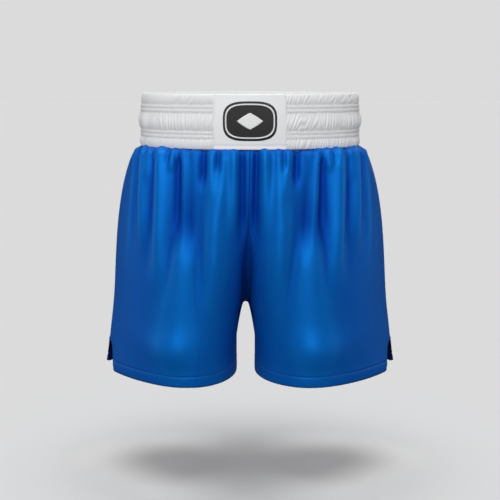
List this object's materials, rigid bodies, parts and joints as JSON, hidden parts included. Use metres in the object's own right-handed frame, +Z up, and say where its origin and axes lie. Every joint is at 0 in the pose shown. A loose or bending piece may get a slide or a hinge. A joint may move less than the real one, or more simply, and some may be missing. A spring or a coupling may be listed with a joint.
{
  "type": "boxing shorts",
  "caption": "Satin boxing shorts with a wide gathered elastic waistband, a smooth front patch with a plain badge, a turned-up hem and side slits.",
  "frame": {"origin": "middle of the waist opening, level with the waistband's top edge", "axes": "+Z up, the front faces -Y, +X is the wearer's left"},
  "size_m": [0.5066, 0.273, 0.4723],
  "materials": {
    "satin": "royal blue polyester satin, soft sheen",
    "band_satin": "white polyester satin, gathered",
    "elastic": "woven elastic webbing, covered",
    "interfacing": "stiff non-woven interfacing, covered",
    "white_thread": "white polyester thread and woven label",
    "blue_thread": "blue polyester thread",
    "black_thread": "black satin-stitch embroidery"
  },
  "bodies": {
    "root": {"front_left_panel": "satin", "front_right_panel": "satin", "back_left_panel": "satin", "back_right_panel": "satin", "front_left_hem_turn_up": "satin", "front_right_hem_turn_up": "satin", "back_left_hem_turn_up": "satin", "back_right_hem_turn_up": "satin", "front_left_hem_stitch": "blue_thread", "front_right_hem_stitch": "blue_thread", "back_left_hem_stitch": "blue_thread", "back_right_hem_stitch": "blue_thread", "left_side_seam": "blue_thread", "right_side_seam": "blue_thread", "left_inseam": "blue_thread", "right_inseam": "blue_thread", "left_slit_bartack": "blue_thread", "right_slit_bartack": "blue_thread", "rise_seam": "blue_thread", "waist_seam_overlock": "blue_thread", "waistband_outer": "band_satin", "waistband_lining": "band_satin", "front_patch": "band_satin", "elastic_top": "elastic", "elastic_middle": "elastic", "elastic_bottom": "elastic", "waistband_stitch_row_1": "white_thread", "waistband_stitch_row_2": "white_thread", "waistband_stitch_row_3": "white_thread", "waistband_stitch_row_4": "white_thread", "waistband_stitch_row_5": "white_thread", "waistband_stitch_row_6": "white_thread", "emblem_border": "white_thread", "emblem_lozenge": "white_thread", "care_label": "white_thread", "patch_interfacing": "interfacing", "emblem_badge": "black_thread"}
  },
  "joints": []
}
